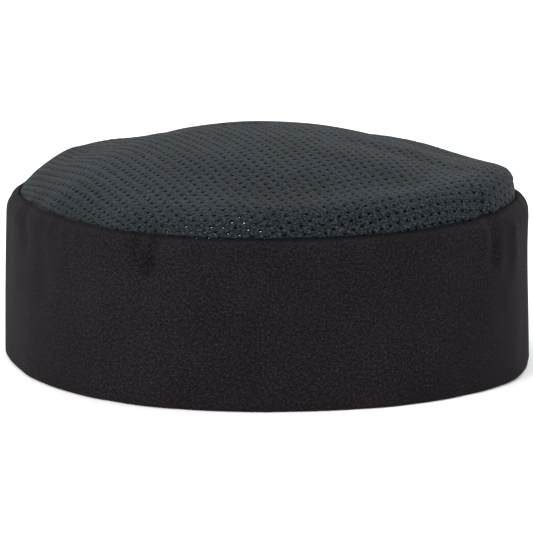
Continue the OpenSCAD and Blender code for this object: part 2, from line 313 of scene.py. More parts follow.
def tube_ring(name, loop, across, around, wrap=True):
    """A closed solid swept along columns. loop is (columns, points round the section, 3)."""
    nu, ns = loop.shape[:2]
    cells_u = nu if wrap else nu - 1
    i, j = [g.ravel() for g in np.meshgrid(np.arange(cells_u), np.arange(ns), indexing="ij")]
    i2, j2 = (i + 1) % nu, (j + 1) % ns
    faces = np.stack([i * ns + j, i2 * ns + j, i2 * ns + j2, i * ns + j2], -1)
    across, around = np.asarray(across), np.asarray(around)
    faces = faces.tolist()
    corners = np.stack(cell_corners(across, around, i, j), 1).reshape(-1, 2).tolist()
    if not wrap:
        faces.append(list(range(ns - 1, -1, -1)))
        faces.append([(nu - 1) * ns + k for k in range(ns)])
        corners += [[0.0, around[k]] for k in range(ns - 1, -1, -1)]
        corners += [[float(across[-1]), around[k]] for k in range(ns)]
    return make(name, loop.reshape(-1, 3), faces, corners)


def columns(count):
    """Columns right round the cap, from the middle of the back, and their weave marks."""
    marks = U_BACK + ROUND * np.arange(count + 1) / count
    return marks[:-1], marks


def pairs(a, b):
    """Rows of (a, b); a single number is repeated."""
    return np.stack(np.broadcast_arrays(a, b), -1).astype(float)


def grids(u, section):
    """Where a section, rows of (depth, z), sweeps along u: grids of u, depth and z."""
    zero = np.zeros((len(u), len(section)))
    return u[:, None] + zero, section[:, 0] + zero, section[:, 1] + zero


def girth(section):
    """Distances round a closed section, one more than it has points."""
    steps = np.diff(np.vstack([section, section[:1]]), axis=0)
    return np.concatenate([[0], np.cumsum(np.linalg.norm(steps, axis=1))])


# The back opening: a half circle on two straight sides
ARCH_R = 0.025
ARCH_SIDE = 0.020


def in_arch(x, z, margin):
    """Whether points on the back wall are inside the arch, widened by a margin."""
    r = ARCH_R + margin
    return (np.abs(x) < r) & (z < ARCH_SIDE) | (x * x + (z - ARCH_SIDE) ** 2 < r * r)


# ------------------------------------------------------------------------ band
CLOTH = 0.0008
ARCH_MARGIN = 0.0003


def layer_from_profile(name, parts, thickness, cols, sharp=50.0):
    """A cloth layer swept round the cap. parts are lists of (depth, z, outward, upward)
    rows of its face."""
    u, marks = columns(cols)
    rows = np.array([row for part in parts for row in part], float)
    depth, z, out, up = rows.T
    thickness = np.broadcast_to(thickness, depth.shape)
    uu, dd, zz = grids(u, rows[:, :2])
    face = on_band(uu, zz, dd)
    n = plan(uu)[1]
    normal = np.concatenate([n * out[:, None], np.broadcast_to(up[:, None], zz.shape + (1,))], -1)
    behind = face - normal * thickness[None, :, None]
    mid_u = (marks[:-1] + marks[1:]) / 2
    mid_z = (z[:-1] + z[1:]) / 2
    keep = ~in_arch(back_x(mid_u)[:, None], mid_z[None, :], ARCH_MARGIN)
    along = np.concatenate([[0], np.cumsum(np.hypot(np.diff(depth), np.diff(z)))])
    return thick_sheet(name, face, behind, marks, along, wrap=True, keep=keep, sharp=sharp)


HEM_R = 0.0012
TURN_UP = 0.014
TUCK_R, TUCK_DROP = 0.0005, 0.0008


def turning(depth, z, r, start, end, count):
    """Rows of a profile that turns round the point (depth, z), after the one at the start."""
    angles = np.linspace(start, end, count)[1:]
    return [(depth - r * math.cos(a), z + r * math.sin(a), math.cos(a), math.sin(a)) for a in angles]


turn = [(2 * HEM_R, z, -1, 0) for z in np.linspace(TURN_UP, HEM_R, 5)]
hem = turning(HEM_R, HEM_R, HEM_R, math.pi, 2 * math.pi, 9)[:-1]
wall = [(0, z, 1, 0) for z in np.linspace(HEM_R, WALL_H, 49)]
roll = turning(SHOULDER_R, WALL_H, SHOULDER_R, 0, SEAM_ANGLE, 10)
tuck_depth = SHOULDER_R * (1 - math.cos(SEAM_ANGLE)) + TUCK_R * math.cos(SEAM_ANGLE)
tuck_z = SEAM_Z - TUCK_R * math.sin(SEAM_ANGLE)
tuck = turning(tuck_depth, tuck_z, TUCK_R, SEAM_ANGLE, math.pi, 6)
tuck.append((tuck_depth + TUCK_R, tuck_z - TUCK_DROP, -1, 0))
shell_parts = [turn, hem, wall, roll, tuck]
# The cloth thins where it turns down into the seam
shell_t = np.full(sum(len(part) for part in shell_parts), CLOTH)
shell_t[-len(tuck):] = np.linspace(0.0006, 0.0003, len(tuck))
band = layer_from_profile("band_cloth", shell_parts, shell_t, 540, sharp=65)

INTER_DEPTH, INTER_T = 0.0009, 0.0006
inner_wall = [(INTER_DEPTH, z, 1, 0) for z in np.linspace(0.0012, WALL_H - 0.0003, 24)]
interlining = layer_from_profile("band_interlining_cloth", [inner_wall], INTER_T, 260)

LINING_DEPTH = 0.0016
lining = layer_from_profile("band_lining_cloth", [
    [(LINING_DEPTH, z, 1, 0) for z in np.linspace(TURN_UP + 0.0001, WALL_H, 30)],
    turning(SHOULDER_R, WALL_H, SHOULDER_R - LINING_DEPTH, 0, SEAM_ANGLE, 7),
], CLOTH, 400)

# ------------------------------------------------------------------- sweatband
SWEAT_FACE, SWEAT_T, SWEAT_FOOT, SWEAT_TOP = 0.0025, 0.0014, 0.0008, 0.032
SWEAT_CURL = 0.0009
SWEAT_END_X = 0.0426
STITCH_LINE = 0.005
# The length of a stitch with its gap
PITCH = 0.004

end_u = FRONT_R * math.asin(SWEAT_END_X / FRONT_R)
sweat_u = np.linspace(U_BACK + end_u, U_BACK + ROUND - end_u, 430)
half = SWEAT_T / 2
middle = SWEAT_FACE + half
rise = np.linspace(SWEAT_FOOT + SWEAT_CURL, SWEAT_TOP - SWEAT_CURL, 16)
a = np.linspace(0, math.pi, 7)[1:-1]
section = np.concatenate([
    pairs(middle - half, rise),
    pairs(middle - half * np.cos(a), rise[-1] + SWEAT_CURL * np.sin(a)),
    pairs(middle + half, rise[::-1]),
    pairs(middle + half * np.cos(a), rise[0] - SWEAT_CURL * np.sin(a)),
])
uu, dd, zz = grids(sweat_u, section)
# The stitches pull the cloth in and crinkle it; above them it is slack
pull = 0.0004 * np.exp(-((zz - STITCH_LINE) / 0.0009) ** 2)
crinkle = 0.00022 * np.sin(2 * math.pi * uu / PITCH + 3 * np.sin(uu * 180))
crinkle = crinkle * np.exp(-((zz - STITCH_LINE) / 0.003) ** 2)
soft = 0.0003 * np.sin(uu * 95 + 1.5 * np.sin(uu * 31)) * smooth_step((zz - 0.012) / 0.02)
loop = on_band(uu, zz, dd + np.where(dd > middle, np.abs(soft) + crinkle * 0.5 - pull, 0))
sweatband = tube_ring("sweatband_cloth", loop[:, ::-1], sweat_u, girth(section)[::-1], wrap=False)

# ------------------------------------------------------------------- seam tape
TAPE_FACE, TAPE_BACK, TAPE_FOOT, TAPE_H, TAPE_T = 0.0045, 0.0071, 0.04786, 0.0065, 0.0008
TAPE_FOLD = 0.0013
middle, half = (TAPE_FACE + TAPE_BACK) / 2, (TAPE_BACK - TAPE_FACE) / 2
fold_z, tape_top = TAPE_FOOT + TAPE_FOLD, TAPE_FOOT + TAPE_H
a = np.linspace(0, math.pi, 9)[1:-1]
section = np.concatenate([
    pairs(TAPE_FACE, np.linspace(tape_top, fold_z, 6)),
    pairs(middle - half * np.cos(a), fold_z - TAPE_FOLD * np.sin(a)),
    pairs(TAPE_BACK, np.linspace(fold_z, tape_top, 6)),
    pairs(TAPE_BACK - TAPE_T, np.linspace(tape_top, fold_z, 4)),
    pairs(TAPE_FACE + TAPE_T, np.linspace(fold_z, tape_top, 4)),
])
tape_u, tape_marks = columns(420)
uu, dd, zz = grids(tape_u, section)
wave = 0.00018 * np.sin(uu * 620 + 2 * np.sin(uu * 97)) * (dd > middle)
seam_tape = tube_ring("crown_seam_tape_cloth", on_band(uu, zz, dd + wave), tape_marks, girth(section))

# ----------------------------------------------------------------------- crown
RIM_DEPTH = 0.00485
RIM_Z = 0.0586
RISE = cad_high.z - RIM_Z - 0.0023
EDGE_POWER, HEIGHT_POWER = 2.19, 0.91
MESH_T = 0.0009
# The seam allowance hangs inside the band, at this depth and down to this height
ALLOW_DEPTH, ALLOW_FOOT = 0.00545, 0.0490
# The hole lattice's two steps in the flat cloth
LATTICE_A = np.array([3.40, 1.60]) * 0.001
LATTICE_B = np.array([-0.60, 3.75]) * 0.001
# A hole's radius, its two stretches, and how far the radius and the place vary
HOLE_R, HOLE_STRETCH, HOLE_SPREAD, HOLE_DRIFT = 0.00057, (1.12, 0.90), 0.10, 0.00010
# On the inner face: a hole's share of its outer size, and how far it is off its partner
HOLE_INNER, HOLE_SLIP = 0.34, 0.00013
# How deep the cloth dips at a hole, as a knitted hole's edge does
HOLE_DIP = 0.00014

# The rim's radius and its distance round the cap, by direction from the middle
rim_u = np.linspace(0, ROUND, 1600, endpoint=False)
rim_p, rim_n = plan(rim_u)
rim_p = rim_p - rim_n * RIM_DEPTH - [0, PLAN_Y]
rim_angle = np.arctan2(rim_p[:, 1], rim_p[:, 0])
order = np.argsort(rim_angle)
rim_angle = np.concatenate([rim_angle[order] - 2 * math.pi, rim_angle[order], rim_angle[order] + 2 * math.pi])
rim_radius = np.tile(np.linalg.norm(rim_p, axis=1)[order], 3)
rim_round = np.concatenate([rim_u[order]] * 3)
MEAN_R = float(np.mean(rim_radius))


def dome(s):
    """The smooth crown's height over its rim at the share s of the rim's radius."""
    return RISE * np.power(np.clip(1 - np.power(s, EDGE_POWER), 0, 1), HEIGHT_POWER)


# The cloth blouses just inside the seam, more on some sides than on others: the share of
# the rim's radius where it does so most, how wide the swelling is, and its height all
# round, then its once-round and twice-round parts
BLOUSE_AT, BLOUSE_WIDE = 0.918, 0.113
BLOUSE = 0.0038
BLOUSE_ONCE = (0.0019, 0.0006)
BLOUSE_TWICE = (-0.0012, -0.0008)
# On the right the crown stands out further over the seam: the angle, the width and how far
CORNER_AT, CORNER_WIDE, CORNER_OUT = -0.30, 0.45, 0.0020


def corner(angle, s):
    """How far the cloth stands out over the seam on the right."""
    turned = wrapped(angle - CORNER_AT, 2 * math.pi)
    swell = np.exp(-(turned / CORNER_WIDE) ** 2 - ((s - 0.955) / 0.05) ** 2)
    return CORNER_OUT * swell * np.clip((1 - s) / 0.03, 0, 1)


def blouse(angle, s):
    """How far the cloth blouses upwards just inside the seam."""
    height = BLOUSE + BLOUSE_ONCE[0] * np.cos(angle) + BLOUSE_ONCE[1] * np.sin(angle)
    height = height + BLOUSE_TWICE[0] * np.cos(2 * angle) + BLOUSE_TWICE[1] * np.sin(2 * angle)
    height = height * np.exp(-((s - BLOUSE_AT) / BLOUSE_WIDE) ** 2)
    return (height + 0.4 * corner(angle, s)) * np.sqrt(np.clip((1 - s) / 0.05, 0, 1))


# Distance along the cloth from the middle of the crown, against the share of the rim's radius
share = 1 - np.linspace(1, 0, 1200) ** 2
climb = np.diff(dome(share) + blouse(1.57, share))
arc = np.concatenate([[0], np.cumsum(np.hypot(np.diff(share) * MEAN_R, climb))])
REACH = float(arc[-1])
REACH_SCALE = REACH / MEAN_R

# Folds and dents in the crown, in plan: from (x, y) to (x, y), then half-width and height
CROWN_FOLDS = [
    # the step on the top's outline, and the small hollow beside it
    (-0.014, 0.030, 0.004, 0.044, 0.0100, 0.0002),
    (-0.034, 0.048, -0.028, 0.024, 0.0070, -0.0008),
    (-0.016, 0.029, 0.001, 0.024, 0.0050, -0.0017),
    # two long low ridges towards the right, and the valley between them
    (0.014, 0.004, 0.050, -0.020, 0.0060, 0.0006),
    (0.050, -0.020, 0.070, -0.048, 0.0060, 0.0006),
    (0.028, -0.018, 0.062, -0.046, 0.0060, -0.0007),
    (0.015, -0.036, 0.041, -0.061, 0.0080, 0.0006),
    # a short wrinkle over the front seam
    (0.024, -0.0860, 0.038, -0.0850, 0.0022, -0.0006),
    # the left shoulder is full
    (-0.081, 0.028, -0.046, 0.076, 0.0090, 0.0014),
    # broad unevenness
    (-0.070, -0.020, -0.045, 0.010, 0.0130, 0.0006),
    (-0.035, -0.060, -0.010, -0.045, 0.0130, -0.0006),
    (-0.050, -0.045, -0.030, -0.075, 0.0070, 0.0004),
    (0.020, 0.078, 0.045, 0.060, 0.0070, 0.0006),
    (-0.055, 0.062, -0.030, 0.080, 0.0060, -0.0006),
    (-0.075, 0.025, -0.082, -0.010, 0.0060, -0.0005),
]


def crown_relief(x, y, s):
    """How far the crown stands proud of the smooth dome at a point in plan."""
    free = smooth_step((1 - s) / 0.16)
    slow = np.sin(x * 71 + 1.3 + 12 * y) + np.sin(y * 63 - 0.4 - 20 * x)
    slow = slow + 0.6 * np.sin((x + y) * 118 + 2.0)
    return (0.00025 * slow + fold_relief(x, y, CROWN_FOLDS)) * free


def crown_at(a, b):
    """The crown's surface at the flat cloth's coordinates a and b, how far out towards the
    rim that is, and how far past it."""
    rho = np.hypot(a, b)
    angle = np.arctan2(b, a)
    radius = np.interp(angle, rim_angle, rim_radius)
    q = rho / (radius * REACH_SCALE)
    s = np.interp(np.clip(q, 0, 1) * REACH, arc, share)
    past = np.clip(q - 1, 0, None) * radius * REACH_SCALE
    tuck_in = (ALLOW_DEPTH - RIM_DEPTH) * smooth_step(past / 0.0022)
    r = s * radius - tuck_in
    x, y = r * np.cos(angle), r * np.sin(angle)
    z = RIM_Z + dome(s) - past
    u = np.interp(angle, rim_angle, rim_round)
    follow = relief(u, np.full_like(u, SEAM_Z)) * smooth_step((s - 0.85) / 0.15)
    follow = follow + corner(angle, s)
    lift = crown_relief(x, y, s) + blouse(angle, s)
    x = x * (1 + follow / np.maximum(r, 0.01))
    y = y * (1 + follow / np.maximum(r, 0.01))
    return np.stack([x, y + PLAN_Y, z + lift], -1), q, past


def crown_normal(a, b):
    """The crown's outward directions at the flat cloth's coordinates a and b."""
    e = 0.0002
    du = crown_at(a + e, b)[0] - crown_at(a - e, b)[0]
    dv = crown_at(a, b + e)[0] - crown_at(a, b - e)[0]
    n = np.cross(du, dv)
    return n / np.maximum(np.linalg.norm(n, axis=-1, keepdims=True), 1e-12)


# How far past the rim the lattice is laid out, a length below its shorter step, and how far
# from the allowance's edge the last cells' middles stay
LATTICE_PAST, LATTICE_STEP, CELL_INSET = 0.014, 0.0024, 0.0014


def build_crown():
    """The perforated cloth: one cell of the lattice for each hole, with eight points round
    the cell and eight round the hole, on each of the cloth's two faces."""
    m = int((REACH + LATTICE_PAST) / LATTICE_STEP) + 8
    ii, jj = [g.ravel() for g in np.meshgrid(np.arange(-m, m + 1), np.arange(-m, m + 1), indexing="ij")]
    centre = ii[:, None] * LATTICE_A + jj[:, None] * LATTICE_B
    _, q, past = crown_at(centre[:, 0], centre[:, 1])
    inside = past < RIM_Z - ALLOW_FOOT - CELL_INSET
    ii, jj, centre, q = ii[inside], jj[inside], centre[inside, None, :], q[inside]
    ring = [(1, 0), (1, 1), (0, 1), (-1, 1), (-1, 0), (-1, -1), (0, -1), (1, -1)]
    cell_keys = np.stack([np.stack([2 * ii + du, 2 * jj + dv], -1) for du, dv in ring], 1)
    keys, index = np.unique(cell_keys.reshape(-1, 2), axis=0, return_inverse=True)
    index = index.reshape(-1, 8)
    shared = keys[:, :1] / 2 * LATTICE_A + keys[:, 1:] / 2 * LATTICE_B
    # the hole's points face the cell's points
    toward = np.stack([du / 2 * LATTICE_A + dv / 2 * LATTICE_B for du, dv in ring])
    toward = toward / np.linalg.norm(toward, axis=1, keepdims=True)
    rng = np.random.default_rng(5)
    size = HOLE_R * (1 + HOLE_SPREAD * rng.standard_normal(len(ii)))[:, None, None]
    centre = centre + HOLE_DRIFT * rng.standard_normal((len(ii), 1, 2))
    spread = toward[None] * np.array(HOLE_STRETCH) * size
    n_shared, n_cells = len(shared), len(ii)
    hole_index = n_shared + np.arange(n_cells * 8).reshape(-1, 8)
    dip = np.concatenate([np.zeros(n_shared), np.full(n_cells * 8, HOLE_DIP)])[:, None]
    flat = np.concatenate([shared, (centre + spread).reshape(-1, 2)])
    top = crown_at(*flat.T)[0] - crown_normal(*flat.T) * dip
    # next to the seam the stretched cloth closes the inner face's holes further
    slip = HOLE_SLIP * rng.standard_normal((n_cells, 1, 2))
    inner = HOLE_INNER * (0.3 + 0.7 * smooth_step((1 - q) / 0.06))[:, None, None]
    flat_in = np.concatenate([shared, (centre + slip + spread * inner).reshape(-1, 2)])
    under = crown_at(*flat_in.T)[0] - crown_normal(*flat_in.T) * (MESH_T - dip)
    total = len(flat)
    nxt = np.roll(np.arange(8), -1)
    o, o2, h, h2 = index, index[:, nxt], hole_index, hole_index[:, nxt]
    faces = [
        np.stack([o, o2, h2, h], -1).reshape(-1, 4),
        np.stack([h, h2, h2 + total, h + total], -1).reshape(-1, 4),
        np.stack([o + total, h + total, h2 + total, o2 + total], -1).reshape(-1, 4),
    ]
    # the cut edge, inside the tape
    edges = np.stack([o, o2], -1).reshape(-1, 2)
    tags = edges.min(1).astype(np.int64) * total + edges.max(1)
    _, first, count = np.unique(tags, return_index=True, return_counts=True)
    rim = edges[first[count == 1]]
    faces.append(np.stack([rim[:, 1], rim[:, 0], rim[:, 0] + total, rim[:, 1] + total], -1))
    faces = np.concatenate(faces)
    weave = np.concatenate([flat, flat])[faces.ravel()]
    obj = make("crown_mesh_cloth", np.concatenate([top, under]), faces, weave, sharp=62)
    return obj, n_cells * abs(LATTICE_A[0] * LATTICE_B[1] - LATTICE_A[1] * LATTICE_B[0])


crown, crown_flat_area = build_crown()

# --------------------------------------------------------------- the back opening
BINDING_W, BINDING_T, GAP = 0.0035, 0.0007, 0.0001
# The depth of the binding's inner side, and the section's bends: where they start, how far
# they reach over the arch's edge, how deep they are, and how far back the lips' tips begin
BINDING_DEPTH = 0.0025
BEND_FROM, BEND_OVER, BEND_DEEP, TIP_BACK = 0.0006, 0.00045, 0.0009, 0.0003
HOLLOW_FROM = 0.0004


def arch_path(count):
    """Distances along the arch, from one foot to the other, with its points (x, z) and its
    outward directions there."""
    total = 2 * ARCH_SIDE + math.pi * ARCH_R
    v = np.linspace(0, total, count)
    a = np.clip((v - ARCH_SIDE) / ARCH_R, 0, math.pi)
    x, z = ARCH_R * np.cos(a), ARCH_SIDE + ARCH_R * np.sin(a)
    z = np.where(v < ARCH_SIDE, v, np.where(v > total - ARCH_SIDE, total - v, z))
    return v, x, z, np.cos(a), np.sin(a)


def binding_section():
    """Points (margin, depth) round the binding's U section."""
    half = BINDING_T / 2
    outer, inner = -GAP - half, BINDING_DEPTH + half
    flank = np.linspace(BINDING_W - TIP_BACK, BEND_FROM, 5)
    hollow = np.linspace(BINDING_W - TIP_BACK, HOLLOW_FROM, 4)
    a = np.linspace(0, math.pi / 2, 5)
    over = BEND_FROM + BEND_OVER + half
    return np.concatenate([
        pairs(flank, outer - half),
        pairs(BEND_FROM - over * np.sin(a), outer - half + BEND_DEEP * (1 - np.cos(a)))[1:],
        pairs(BEND_FROM - over * np.cos(a), inner + half - BEND_DEEP * (1 - np.sin(a))),
        pairs(flank[::-1], inner + half)[1:],
        [(BINDING_W, inner)],
        pairs(hollow, inner - half),
        pairs(hollow[::-1], outer + half),
        [(BINDING_W, outer)],
    ])


section = binding_section()
v, ax, az, ox, oz = arch_path(170)
pucker = 0.00010 * np.sin(2 * math.pi * v / PITCH)
m = section[:, 0]
on_face = np.where(section[:, 1] < 0.0012, -1, 1) * (m > 0.0002)
dd = section[:, 1] + on_face * pucker[:, None]
zz = np.maximum(az[:, None] + oz[:, None] * m, 0.0002)
loop = back(ax[:, None] + ox[:, None] * m, zz, dd)
binding = tube_ring("arch_binding_cloth", loop[:, ::-1], v, girth(section)[::-1], wrap=False)

# ----------------------------------------------------------------------- straps
STRAP_Z, STRAP_H, STRAP_T = 0.001, 0.021, 0.0012
TIP_X, TIP_R = -0.020, 0.006
ROOT_X, ROOT_END = 0.0296, 0.0426
STRAP_FACE = -0.0023
UNDER_FACE, UNDER_X0, UNDER_X1 = 0.0012, -0.0241, 0.014


def edge_round(k, sharpness):
    """A rounded edge's share of full thickness; k goes from -1 to 1 across."""
    return np.power(np.clip(1 - np.abs(k) ** sharpness, 0, 1), 0.5)


def layered(name, x, z, face, rear, across, along):
    """A cloth on the back wall between two depths, on a grid of x and z."""
    return thick_sheet(name, back(x, z, face)[::-1], back(x, z, rear)[::-1], across, along)


def strap_piece(name, x0, x1, tip_r, face_depth, back_depth, cols):
    """A strap on the back wall: rounded edges, and its low-X end's corners rounded."""
    k = np.linspace(0, math.pi, cols)
    x = (x0 + x1) / 2 - (x1 - x0) / 2 * np.cos(k) * (1 - 0.18 * np.sin(k) ** 2)
    x = np.maximum.accumulate(x)
    across = np.sin(np.linspace(-math.pi / 2, math.pi / 2, 30))
    half = np.full(cols, STRAP_H / 2)
    if tip_r:
        near = np.clip(x0 + tip_r - x, 0, tip_r)
        half = STRAP_H / 2 - tip_r + np.sqrt(np.maximum(tip_r ** 2 - near ** 2, 0))
    mid = STRAP_Z + STRAP_H / 2
    zz = mid + half[:, None] * across[None, :]
    xx = np.broadcast_to(x[:, None], zz.shape)
    ends = np.clip(2 * (xx - x0) / (x1 - x0) - 1, -1, 1)
    plump = edge_round(across[None, :], 16) * edge_round(ends, 60)
    rear = back_depth(xx)
    centre, thick = (face_depth + rear) / 2, (rear - face_depth) / 2
    # a faint ripple, and a groove along the row of stitches that closes the strap's edge
    ripple = 0.00006 * np.sin(xx * 700 + zz * 160) * plump
    groove = 0.00022 * np.exp(-((half[:, None] - np.abs(zz - mid) - 0.0028) / 0.0006) ** 2)
    thick = thick * (0.25 + 0.75 * plump)
    return layered(name, xx, zz, centre - thick + ripple + groove, centre + thick,
                   -x[::-1], STRAP_Z + (across + 1) * STRAP_H / 2)


def over_back(x):
    """The outer strap's underside drops to the band where its end is turned under."""
    return STRAP_FACE + STRAP_T + 0.001 * smooth_step((x - ROOT_X + 0.0005) / 0.0022)


strap = strap_piece("strap_cloth", TIP_X, ROOT_END, TIP_R, STRAP_FACE, over_back, 150)
under = strap_piece(
    "under_strap_cloth", UNDER_X0, UNDER_X1, 0.0, UNDER_FACE, lambda x: UNDER_FACE + STRAP_T, 110)

TAPES_Z, TAPES_H = 0.0035, 0.016
HOOK_X, HOOK_FACE, HOOK_BASE_T = (-0.017, 0.011), -0.0010, 0.00035
LOOP_X, LOOP_BASE, LOOP_BASE_T = (-0.021, 0.012), 0.0007, 0.0004
# How far the first and the last filaments stay from a tape's edges
FIRST_IN, LAST_IN = 0.0007, 0.0006


def flat_tape(name, x0, x1, face, rear):
    """A tape's woven base between two depths on the back wall."""
    x = np.linspace(x0, x1, 60)
    z = np.linspace(TAPES_Z, TAPES_Z + TAPES_H, 26)
    xx, zz = np.meshgrid(x, z, indexing="ij")
    return layered(name, xx, zz, face, rear, -x[::-1], z)


hook_base = flat_tape("hook_tape_base", *HOOK_X, HOOK_FACE, HOOK_FACE + HOOK_BASE_T)
loop_base = flat_tape("loop_tape_base", *LOOP_X, LOOP_BASE, LOOP_BASE + LOOP_BASE_T)


def bristles(name, x_range, depth, curve, radius, step, seed):
    """Many small bent filaments on a tape. curve is the filament's own path, (along, out)."""
    sides = 4
    rng = np.random.default_rng(seed)
    xs = np.arange(x_range[0] + FIRST_IN, x_range[1] - LAST_IN, step)
    zs = np.arange(TAPES_Z + FIRST_IN, TAPES_Z + TAPES_H - LAST_IN, step)
    gx, gz = [g.ravel() for g in np.meshgrid(xs, zs, indexing="ij")]
    gx = gx + rng.uniform(-0.2, 0.2, len(gx)) * step
    gz = gz + rng.uniform(-0.2, 0.2, len(gz)) * step
    turn_by = rng.uniform(-0.5, 0.5, len(gx)) + np.where(rng.random(len(gx)) < 0.5, math.pi, 0)
    ca, sa = np.cos(turn_by), np.sin(turn_by)
    spots = []
    k = len(curve)
    tangent = np.gradient(curve, axis=0)
    tangent = tangent / np.linalg.norm(tangent, axis=1, keepdims=True)
    side = np.stack([-tangent[:, 1], tangent[:, 0]], -1)
    for ring_k in range(k):
        for s in range(sides):
            w = 2 * math.pi * s / sides
            along = curve[ring_k, 0] + side[ring_k, 0] * radius * math.cos(w)
            out = curve[ring_k, 1] + side[ring_k, 1] * radius * math.cos(w)
            aside = radius * math.sin(w)
            x = gx + along * ca - aside * sa
            z = gz + along * sa + aside * ca
            spots.append(back(x, z, depth(out)))
    spots = np.stack(spots, 1)
    one = []
    for r in range(k - 1):
        for s in range(sides):
            s2 = (s + 1) % sides
            one.append([r * sides + s, r * sides + s2, (r + 1) * sides + s2, (r + 1) * sides + s])
    one.append(list(range(sides))[::-1])
    one.append([(k - 1) * sides + s for s in range(sides)])
    faces = (np.arange(len(gx))[:, None, None] * k * sides + np.array(one)[None]).reshape(-1, 4)
    uvs = np.tile(np.array([[0, 0], [1, 0], [1, 1], [0, 1]]) * 0.0004, (len(faces), 1))
    return make(name, spots.reshape(-1, 3), faces, uvs, sharp=80)


# The paths of one hook and of one loop, (along, out)
hook_curve = np.array([(0, 5), (0, 28), (6, 44), (18, 48), (27, 38), (27, 28)]) * 0.00001
hooks = bristles(
    "hook_tape_hooks", HOOK_X, lambda out: HOOK_FACE + HOOK_BASE_T + out, hook_curve, 0.00007, 0.00085, 21)
loop_curve = np.array([(-35, -10), (-40, 18), (-20, 40), (10, 42), (30, 20), (32, -10)]) * 0.00001
loops = bristles(
    "loop_tape_pile", LOOP_X, lambda out: LOOP_BASE - out * 0.9, loop_curve, 0.00006, 0.00078, 22)

# ----------------------------------------------------------------------- label
LABEL_X, LABEL_W, LABEL_H, LABEL_DEPTH, LABEL_T = -0.058, 0.020, 0.015, 0.0025, 0.0004
lx = np.linspace(LABEL_X, LABEL_X + LABEL_W, 30)
lz = np.linspace(WALL_H - LABEL_H, WALL_H, 22)
xx, zz = np.meshgrid(lx, lz, indexing="ij")
# The free lower part hangs a little away from the lining
hang = 0.0006 * smooth_step((WALL_H - 0.003 - zz) / LABEL_H) * (1 + 0.5 * np.sin(xx * 300))
hang = LABEL_DEPTH + hang
label = layered("size_label_ribbon", xx, zz, hang, hang + LABEL_T, -lx[::-1], lz)

# --------------------------------------------------------------------- stitches
# A thread's thickness, and the share of a stitch that shows
THREAD, STITCH_SHARE = 0.00032, 0.72
# How far a row of stitches is from an edge
EDGE = 0.0015
# The step that gives a stitch its direction
AHEAD = 0.0004


def threads(name, middles, tangents, normals):
    """Stitches as short lengths of thread that dip into the cloth at both ends."""
    sides, rings, length = 7, 9, PITCH * STITCH_SHARE
    k = np.linspace(-0.5, 0.5, rings)
    bow = 0.00018 * (1 - (2 * k) ** 2 * 2.2)
    radius = THREAD / 2 * np.power(np.clip(1 - (2 * k) ** 10, 0, 1), 0.5) + 0.00002
    w = 2 * math.pi * np.arange(sides) / sides
    normals = normals / np.linalg.norm(normals, axis=1, keepdims=True)
    tangents = tangents / np.linalg.norm(tangents, axis=1, keepdims=True)
    aside = np.cross(tangents, normals)
    along = (k * length)[:, None] + 0 * w
    out = bow[:, None] + radius[:, None] * np.cos(w)
    side = radius[:, None] * np.sin(w)
    pts = (
        middles[:, None, None, :]
        + tangents[:, None, None, :] * along[None, :, :, None]
        + normals[:, None, None, :] * out[None, :, :, None]
        + aside[:, None, None, :] * side[None, :, :, None]
    )
    one, uvs = [], []
    for r in range(rings - 1):
        for s in range(sides):
            s2 = (s + 1) % sides
            one.append([r * sides + s, (r + 1) * sides + s, (r + 1) * sides + s2, r * sides + s2])
            a0, a1 = k[r] * length, k[r + 1] * length
            w0, w1 = s / sides * 0.001, (s + 1) / sides * 0.001
            uvs += [[a0, w0], [a1, w0], [a1, w1], [a0, w1]]
    count = len(middles)
    quads = (np.arange(count)[:, None, None] * rings * sides + np.array(one)[None]).reshape(-1, 4)
    caps = []
    for c in range(count):
        base = c * rings * sides
        caps.append([base + s for s in range(sides)])
        caps.append([base + (rings - 1) * sides + s for s in range(sides - 1, -1, -1)])
    corners = np.concatenate([np.tile(uvs, (count, 1)), np.zeros((count * 2 * sides, 2))])
    return make(name, pts.reshape(-1, 3), [list(q) for q in quads] + caps, corners, sharp=80)


def round_row(name, depth, z, skip=0.0):
    """A row of stitches right round the cap's inside, but for the middle of the back."""
    count = int(ROUND / PITCH)
    u = U_BACK + ROUND * (np.arange(count) + 0.5) / count
    u = u[np.abs(back_x(u)) > skip]
    zz = np.full(len(u), z)
    mid = on_band(u, zz, depth)
    inward = np.concatenate([-plan(u)[1], np.zeros((len(u), 1))], 1)
    return threads(name, mid, on_band(u + AHEAD, zz, depth) - mid, inward)


def back_row(name, spots, depth, outside=True):
    """Stitches on the back wall. spots are (x, z, dx, dz) of their middles and directions."""
    x, z, dx, dz = np.array(spots).T
    mid = back(x, z, depth)
    outward = (mid - [0, BACK_CY, 0]) * [1, 1, 0]
    ahead = back(x + dx * AHEAD, z + dz * AHEAD, depth)
    return threads(name, mid, ahead - mid, outward if outside else -outward)


def boxed(name, x_range, z, height, depth, outside=True):
    """A box of stitches on the back wall, a little inside a piece's edges."""
    x0, x1, z0, z1 = x_range[0] + EDGE, x_range[1] - EDGE, z + EDGE, z + height - EDGE
    across, up = int((x1 - x0) / PITCH), int((z1 - z0) / PITCH)
    spots = [(x0 + (x1 - x0) * (i + 0.5) / across, side, 1, 0) for side in (z0, z1) for i in range(across)]
    spots += [(side, z0 + (z1 - z0) * (i + 0.5) / up, 0, 1) for side in (x0, x1) for i in range(up)]
    return back_row(name, spots, depth, outside)


